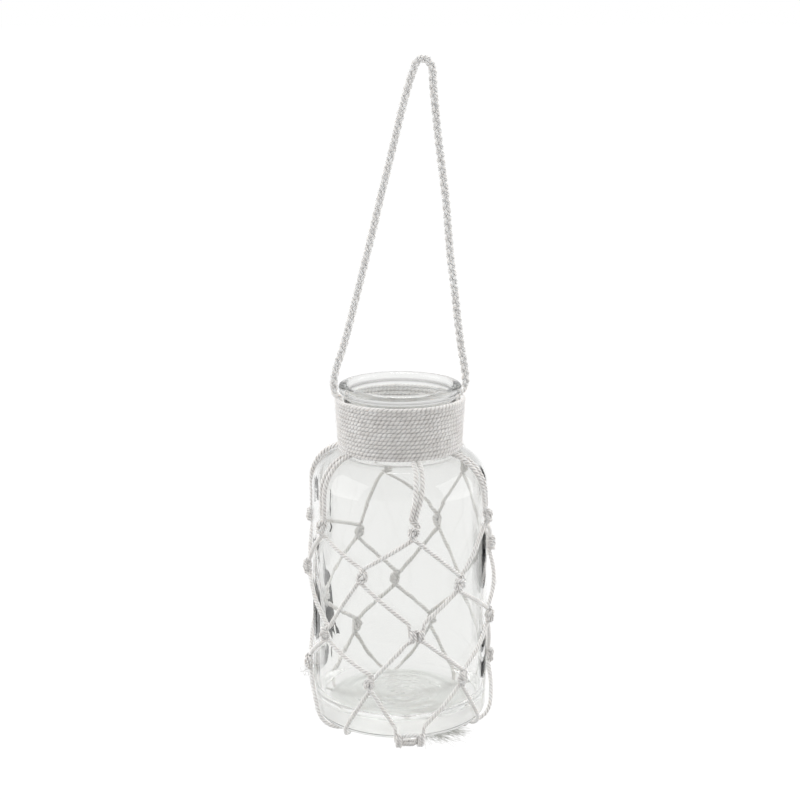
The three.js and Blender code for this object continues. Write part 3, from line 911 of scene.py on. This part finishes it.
def net_cord_path(pair, hand):
    """The whole way of one cord, with its diameter at each point"""
    az = PAIR_TOP_AZ[pair]
    points, widths = [], []

    def add(way, width):
        points.append(way.reshape(-1, 3))
        widths.append(np.full(len(points[-1]), width))

    for z in np.linspace(TUCK_TOP, SHOULDER_TOP + 3.2, 6):
        r = neck_radius(z) + 1.2
        add(around(r, az + hand * PAIR_HALF / r / RAD, z), TUCKED_D)
    foot_r = NECK_FOOT_R + 1.9
    add(around(foot_r, az + hand * PAIR_HALF / foot_r / RAD, SHOULDER_TOP + 1.75), 2.2)
    across = foot_r + 2.2 - BODY_R + SHOULDER_R
    shoulder_run = WALL_RUN + SHOULDER_R * acos(across / SHOULDER_R)
    first_run = knot_run(0, pair) + 6.5
    # The two cords of the front pair bow apart a little more on their way down
    bow = 0.5 if pair == 0 else 0.35
    for share in np.linspace(0, 1, 12):
        run = shoulder_run + (first_run - shoulder_run) * share
        r = max(BODY_R - SHOULDER_R + SHOULDER_R * cos(max(run - WALL_RUN, 0) / SHOULDER_R), 6)
        shift = hand * (PAIR_HALF + bow * sin(pi * min(1, 1.25 * share)))
        way_az = az + (KNOT_AZ[0][pair] - az) * share**1.6 + shift / r / RAD
        lift = CORD_LIFT - 0.2 * (share == 0)
        add(on_glass(way_az, [run], lift), NET_CORD_D * (1.0 + 0.12 * sin(pi * share)))
    az = KNOT_AZ[0][pair]
    last_az = az + hand * PAIR_HALF / BODY_R / RAD
    last_run = first_run
    for row in range(5):
        between = row % 2 == 1 and hand < 0
        place = (pair + PAIRS - 1) % PAIRS if between else pair
        in_knot = hand if row % 2 == 0 else -hand
        az = unwrap_near(KNOT_AZ[row][place], az)
        run = knot_run(row, place)
        wide = place == 0 and row in WIDE_KNOTS
        way = wide_knot_way(row, hand) if wide else knot_way(row, place, in_knot)
        knot_d = WIDE_KNOT_CORD_D if wide else KNOT_CORD_D
        knot_runs = run + way[:, 2]
        knot_az = az + way[:, 0] / local_radius(knot_runs) / RAD
        # Straight on the unrolled glass from the knot above
        count = max(3, int((last_run - knot_runs[0]) / 0.8))
        share = np.linspace(0, 1, count + 2)[1:-1]
        stretch_az = last_az + (knot_az[0] - last_az) * share
        stretch_run = last_run + (knot_runs[0] - last_run) * share
        slack = SLACK.get((pair, hand, row - 1), 0) * np.sin(pi * share)
        add(on_glass(stretch_az, stretch_run, CORD_LIFT + slack), NET_CORD_D)
        add(on_glass(knot_az, knot_runs, way[:, 1] + 0.1 + KNOT_CORD_D / 2), knot_d)
        last_az, last_run = knot_az[-1], knot_runs[-1]
    inner_run = GATHER_R - 1.5
    end_az = unwrap_near(pair * 360 / PAIRS, last_az) + hand * 12
    count = max(4, int((last_run - inner_run) / 0.8))
    share = np.linspace(0, 1, count + 1)[1:]
    base_az = last_az + (end_az - last_az) * share
    add(on_glass(base_az, last_run + (inner_run - last_run) * share, CORD_LIFT), NET_CORD_D)
    return np.vstack(points), np.concatenate(widths)


# Spacing of a net cord's points: outside its knots, in them, and while it is smoothed
COARSE_STEP = 0.7
FINE_STEP = 0.38
DENSE_STEP = 0.1


def even_cord(path, widths):
    """Points spaced closely where the cord is thin, in its knots, and wider elsewhere"""
    run = arc_lengths(path)
    dense = np.arange(0, run[-1], DENSE_STEP)
    path = at_lengths(path, run, dense)
    width = np.interp(dense, run, widths)
    for _ in range(2):
        width = np.convolve(np.pad(width, 8, mode="edge"), np.full(17, 1 / 17), "valid")
    path = softened(path, 26)
    thick = ramp(width, KNOT_CORD_D, NET_CORD_D - KNOT_CORD_D)
    spacing = FINE_STEP + (COARSE_STEP - FINE_STEP) * thick
    count = running(DENSE_STEP / spacing[:-1])
    index = np.arange(len(dense))
    picks = np.interp(np.arange(0, count[-1]), count, index)
    return at_lengths(path, index, picks), np.interp(picks, index, width)


NET_LAY = 2.35
net_paths = []

for pair in range(PAIRS):
    for hand, side in ((-1, "left"), (1, "right")):
        path, widths = even_cord(*net_cord_path(pair, hand))
        net_paths.append((path, widths))
        builder = Builder()
        twisted(builder, path, widths, NET_LAY, start_turn=pair * 0.9 + hand)
        name = f"net_cord_{pair + 1}_{side}"
        cord = builder.object(name + "_twist", net_look)
        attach(cord, "vase")
        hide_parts(name)


# Fibre ends that stand off the net and the winding
FIBRES_ON_CORD = 330
FIBRES_ON_WINDING = 2600
rng = np.random.default_rng(11)
net_fuzz = Builder()
for path, widths in net_paths:
    fuzz(net_fuzz, path, widths, FIBRES_ON_CORD, rng)


def wisps(builder, azimuth, height, count, rng):
    """A few long fibres that have worked loose from a knot and hang in curls"""
    root = around(BODY_R + 3.5, azimuth, height)
    out = around(1, azimuth, 0)
    up = np.array([0, 0, 1.0])
    for _ in range(count):
        t = np.linspace(0, 1, 26)[:, None]
        side = rng.uniform(-1, 1)
        curl = rng.uniform(1.2, 2.4)
        turns = rng.uniform(0.7, 1.2)
        angle = TURN * turns * t + rng.uniform(0, 6)
        outward = t * 2.2 + curl * (np.cos(angle) - np.cos(angle[0]))
        upward = curl * (np.sin(angle) - np.sin(angle[0])) - 5.5 * t
        line = root + rng.normal(0, 1.2, 3) + out * outward + up * upward
        line = line + around(1, azimuth + 90, 0) * side * 2 * t
        builder.tube(line, np.array([[0, 1.0, 0.1]]) + 0 * line, 0.09, 0.09, 4)


wisps(net_fuzz, -91, 29, 6, rng)
net_fuzz = net_fuzz.object("net_fuzz", fibre_look)
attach(net_fuzz, "vase")


# Winding: the cord's thickness, and how often its plies turn in one turn round the neck
WINDING_D = 2.8
WINDING_SPIN = 43.105
WINDING_START_AZ = 150


def winding_path():
    """The turns, and the cord's own twist at each point; it starts one turn low, on the
    shoulder, and its last turn lies close under the lip"""
    turns = np.arange(-1, WRAP_TURNS + 1.2, 1 / 340)
    z = WRAP_BOTTOM + 1.1 + (WRAP_PITCH - 0.09) * turns
    z = z + 0.10 * np.sin(TURN * turns * 0.37 + 1) * np.sin(TURN * turns)
    # The last turn dips at the sides, where the loop's ends come out over it
    azimuth = WINDING_START_AZ + 360 * turns
    dip = np.minimum(1, 1 - np.cos(azimuth * RAD))
    z = z - 2.0 * ramp(turns, 11.3, 1) - 1.0 * dip * ramp(turns, 10.7, 0.4)
    r = neck_radius(z) + 3.7
    drift = 0.1 * np.sin(TURN * 0.23 * turns) + 0.03 * np.sin(TURN * 1.7 * turns)
    return around(r, azimuth, z), WINDING_SPIN * turns + drift


winding_builder = Builder()
winding_way, winding_spin = winding_path()
twisted(
    winding_builder, winding_way, WINDING_D, None,
    plies=2, sides=9, ply_share=0.255, wide=1.4, spin=winding_spin,
)
winding = winding_builder.object("winding_twist", wrap_look)
# Where the winding lies flat on the glass, painted lighter as painted light for light through the
# cotton
painted_inner_light = winding.data.attributes.new("painted_inner_light", "FLOAT", "POINT")
spots = np.vstack(winding_builder.points)
off_neck = np.hypot(spots[:, 0], spots[:, 1]) - neck_radius(spots[:, 2])
painted_inner_light.data.foreach_set("value", np.clip((3.3 - off_neck) / 0.8, 0, 1))
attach(winding, "vase")
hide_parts("neck_winding")

winding_fuzz = Builder()
fuzz(winding_fuzz, winding_way, WINDING_D, FIBRES_ON_WINDING, rng)
winding_fuzz = winding_fuzz.object("winding_fuzz", fibre_look)
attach(winding_fuzz, "vase")

# Loop ends under the winding
LOOP_END_LAY = 2.3
SQUEEZED_D = 2.4
for sign, side, wide in ((-1, "left", 4.3), (1, "right", 2.6)):
    r = neck_radius(WRAP_TOP) + 1.3
    route = [
        (LOOP_ANCHOR_X, HINGE_Z + 0.6), (LOOP_ANCHOR_X - 0.4, HINGE_Z - 2.2),
        (LOOP_ANCHOR_X - 2.2, WRAP_TOP + 1.0), (r + 1.2, WRAP_TOP + 0.1), (r, WRAP_TOP - 2.5),
        (r - 0.3, WRAP_TOP - 8), (r - 0.6, WRAP_TOP - 14),
    ]
    builder = Builder()
    route = evenly(spline([(sign * x, 0, z) for x, z in route]), 0.5)
    # Squeezed thin where it goes under the winding, and narrower in the plait's end
    height = route[:, 2]
    free = ramp(height, WRAP_TOP - 3.5, 4.5) * ramp(-height, -HINGE_Z - 1.5, 2.5)
    twisted(builder, route, SQUEEZED_D + (wide - SQUEEZED_D) * free, LOOP_END_LAY)
    end = builder.object(f"loop_end_{side}_twist", loop_look)
    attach(end, "vase")
    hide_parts(f"loop_end_{side}")


# Gathering knot under the base, and the cut ends
GATHER_WRAPS = 7
GATHER_HALF = (4.9, 4.9, 2.2)
GATHER_Z = -3.7


def ball_of_wraps():
    """Several turns of cord one over another, pulled into a flattened ball"""
    builder = Builder()
    for wrap in range(GATHER_WRAPS):
        t = np.linspace(0, TURN, 60)
        lean = wrap * pi / GATHER_WRAPS
        ring = np.stack([np.cos(t), np.sin(t), 0.35 * np.sin(t + wrap)], 1)
        x, y, z = units(ring).T
        y, z = turned(y, z, 0.9 * sin(wrap * 2.1))
        x, y = turned(x, y, lean)
        path = np.stack([x, y, z], 1) * GATHER_HALF + [0, 0, GATHER_Z]
        twisted(builder, path, 2.4, NET_LAY, sides=6)
    return builder


gather = ball_of_wraps().object("gathering_knot_wraps", net_look)
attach(gather, "vase")
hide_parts("gathering_knot")

TAILS = 12
TAIL_AZ = 33
TAIL_SPREAD = 38
TAIL_D = 2.1
TAIL_START_R = 6.4
TAIL_END_R = BODY_R - 3
# The outer part of a tail's reach is frayed into so many yarns
FRAYED = 16
YARNS = 16


def cut_ends():
    """Short tails that lie under the base, and the loose yarns that their ends fray into"""
    rng = np.random.default_rng(5)
    tails = Builder()
    yarns = Builder()
    for tail in range(TAILS):
        az = TAIL_AZ + TAIL_SPREAD * ((tail + 0.5) / TAILS - 0.5)
        level = -4.3 + 0.6 * (-1) ** tail
        reach = TAIL_END_R + rng.uniform(-3, 0)
        sway = rng.uniform(-5, 5)
        share = np.linspace(0, 1, 40)
        r = TAIL_START_R + (reach - FRAYED - TAIL_START_R) * share
        way_az = az + sway * np.sin(share * pi) * 0.4
        path = around(r, way_az, level + 0.3 * np.sin(share * 5 + tail))
        twisted(tails, path, TAIL_D, NET_LAY, sides=6)
        end = path[-1]
        ahead = end - path[-3]
        ahead /= np.linalg.norm(ahead)
        for _ in range(YARNS):
            spread = rng.normal(0, 1, 3) * [0.22, 0.22, 0.10]
            start = end + rng.normal(0, 0.4, 3)
            length = rng.uniform(8, 19)
            t = np.linspace(0, 1, 12)[:, None]
            curl = rng.normal(0, 1, 3) * [1.4, 1.4, 0.6]
            wave = np.sin(t * rng.uniform(4, 9)) * rng.normal(0, 0.35, 3)
            line = start + t * length * (ahead + spread) + t**2 * curl + t * wave
            line[:, 2] = np.clip(line[:, 2], -6.8, -2.4)
            _, normal, _ = transported(line)
            taper = rng.uniform(0.10, 0.2) * (1 - 0.6 * t[:, 0])
            yarns.tube(line, normal, taper, taper, 4)
    return tails, yarns


tails, yarns = cut_ends()
tails = tails.object("cut_ends_twist", net_look)
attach(tails, "vase")
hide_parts("cut_ends")
yarns = yarns.object("cut_ends_frayed", fibre_look)
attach(yarns, "vase")

# Floor and light, in metres
FLOOR_Z = -0.62
FLOOR_HALF = 30
corners = [(-1, -1), (1, -1), (1, 1), (-1, 1)]
floor_points = [(x * FLOOR_HALF, y * FLOOR_HALF, FLOOR_Z) for x, y in corners]
floor = faced("floor", floor_points, [(0, 1, 2, 3)])


def floor_material():
    """Plain white, partly its own light, so that it stays white and still takes a shadow"""
    material, graph, _ = new_material("floor_white")
    graph.nodes.clear()
    matt = graph.add("BsdfDiffuse", {"Color": (0.6, 0.6, 0.6, 1)})
    white = graph.add("Emission", {"Strength": 1.12})
    path = graph.add("LightPath").outputs
    seen = graph.math("MAXIMUM", path["Is Camera Ray"], path["Is Transmission Ray"])
    seen = graph.math("MAXIMUM", seen, path["Is Glossy Ray"])
    share = graph.math("MULTIPLY", seen, 0.8)
    surface = graph.shaders(share, matt.outputs[0], white.outputs[0])
    graph.add("OutputMaterial", {"Surface": surface})
    return material


floor.data.materials.append(floor_material())


def studio_world():
    """Soft light from all round, stronger from the sides, the back and above than in front"""
    world = bpy.data.worlds.new("studio")
    graph = Graph(world)
    graph.nodes.clear()
    x, y, z = graph.split(graph.add("TexCoord").outputs["Generated"])
    light = graph.math("MULTIPLY_ADD", graph.math("ABSOLUTE", x), 0.74, 0.06)
    up = graph.math("MAXIMUM", z, 0.0)
    light = graph.math("MULTIPLY_ADD", up, 0.85, light)
    light = graph.math("MULTIPLY_ADD", graph.math("MAXIMUM", y, 0.0), 0.3, light)
    light = graph.math("MULTIPLY_ADD", graph.math("MINIMUM", y, 0.0), 0.14, light)
    shown = graph.math("MAXIMUM", light, 0.0)
    # Glass that turns light upward shows a greyer ceiling
    ceiling = graph.math("MAXIMUM", graph.math("MULTIPLY_ADD", up, -1.2, 1.0), 0.6)
    path = graph.add("LightPath").outputs
    for ray, tone in (("Glossy", 0.68), ("Transmission", ceiling), ("Camera", 1.0)):
        values = {"Factor": path[f"Is {ray} Ray"], "A": shown, "B": tone}
        shown = graph.add("Mix", values).outputs["Result"]
    background = graph.add("Background", {"Color": (1, 1, 1, 1), "Strength": shown})
    graph.add("OutputWorld", {"Surface": background.outputs[0]})
    scene.world = world


studio_world()


# Behind the jar, in millimetres, and how far aside light passes that isn't bent at all
CARD_DISTANCE = 500
CARD_ASIDE = 70


def dark_card(name, turn, bands, edges_only=True):
    """Narrow dark cards behind the jar, seen only through glass, that draw its edges. Each band
    is cut for a stretch of the wall: the height, and the least and greatest angles that light
    is bent by there, at its lower and its upper end. A card for edges only is seen only by
    light that the glass has also turned round inside itself"""
    points, faces = [], []
    for low, low_bends, high, high_bends in bands:
        for height, bends in ((low, low_bends), (high, high_bends[::-1])):
            for bend in bends:
                aside = CARD_ASIDE + CARD_DISTANCE * tan(bend * RAD)
                travel = CARD_DISTANCE / cos(bend * RAD)
                drop = travel * (eye[2] - height) / hypot(eye[0], eye[1])
                way = hypot(CARD_DISTANCE, aside)
                angle = CAMERA_AZ + 180 + turn * atan2(aside, CARD_DISTANCE) / RAD
                points.append(around(way, angle, height - drop))
        faces.append(tuple(range(len(points) - 4, len(points))))
    made = faced(name, placed(points).tolist(), faces)
    material, graph, shader = new_material(name)
    black = {"Base Color": (0.005, 0.005, 0.006, 1), "Roughness": 1.0, "Specular IOR Level": 0.0}
    graph.fill(shader, black)
    if edges_only:
        inside = graph.math("MINIMUM", graph.add("LightPath").outputs["Glossy Depth"], 1)
        clear = graph.add("BsdfTransparent")
        surface = graph.shaders(inside, clear.outputs[0], shader.outputs[0])
        graph.fill(graph.nodes["Material Output"], {"Surface": surface})
    made.data.materials.append(material)
    for ray in ("camera", "diffuse", "shadow", "volume_scatter"):
        setattr(made, "visible_" + ray, False)


dark_card(
    "card_right", -1, [
        (24, (13, 50), 37, (13, 50)), (42, (15, 50), 55, (13, 50)),
        (80, (20, 60), 112, (22, 60)), (137, (24, 60), 260, (24, 60)),
    ],
)
dark_card(
    "card_left", 1, [
        (20, (13, 37), 38, (13, 37)), (45, (13, 37), 104, (13, 37)),
        (124, (27, 37), 205, (27, 36)),
    ],
)
dark_card(
    "card_lines", 1, [
        (20, (8, 18), 38, (8, 18)), (45, (2.5, 18), 80, (7, 18)), (80, (7, 18), 96, (16, 18)),
        (107, (6.2, 8.0), 110, (5.2, 6.0)), (110, (5.0, 6.0), 113.5, (6.3, 7.6)),
        (116.5, (6.4, 7.0), 120, (6.0, 6.9)), (120, (5.7, 7.4), 123, (6.4, 7.1)),
        (123, (6.3, 7.2), 127.5, (5.6, 6.3)), (127.5, (5.5, 6.3), 132, (5.9, 6.6)),
    ],
    edges_only=False,
)


LAMP_TARGET_Z = 150


def lamp(name, azimuth, height, distance, size, power):
    """A soft square lamp that faces the jar; its places and size are in metres"""
    data = bpy.data.lights.new(name, "AREA")
    data.size = size
    data.energy = power
    made = in_scene(name, data)
    target = Vector(placed([0, 0, LAMP_TARGET_Z])[0])
    made.location = target + Vector(around(distance, azimuth, height))
    made.rotation_euler = (target - made.location).to_track_quat("-Z", "Y").to_euler()
    data.specular_factor = 0.45
    made.visible_camera = False
    made.visible_transmission = False


lamp("lamp_left", -85, 0.45, 1.4, 1.4, 9)
lamp("lamp_right", 75, 0.35, 1.4, 1.4, 9)
lamp("lamp_top", 180, 1.3, 0.35, 0.5, 4)

scene.view_settings.view_transform = "Standard"
# Thick glass turns light round inside itself many times
scene.cycles.glossy_bounces = 16
scene.cycles.transmission_bounces = 24
scene.cycles.max_bounces = 32
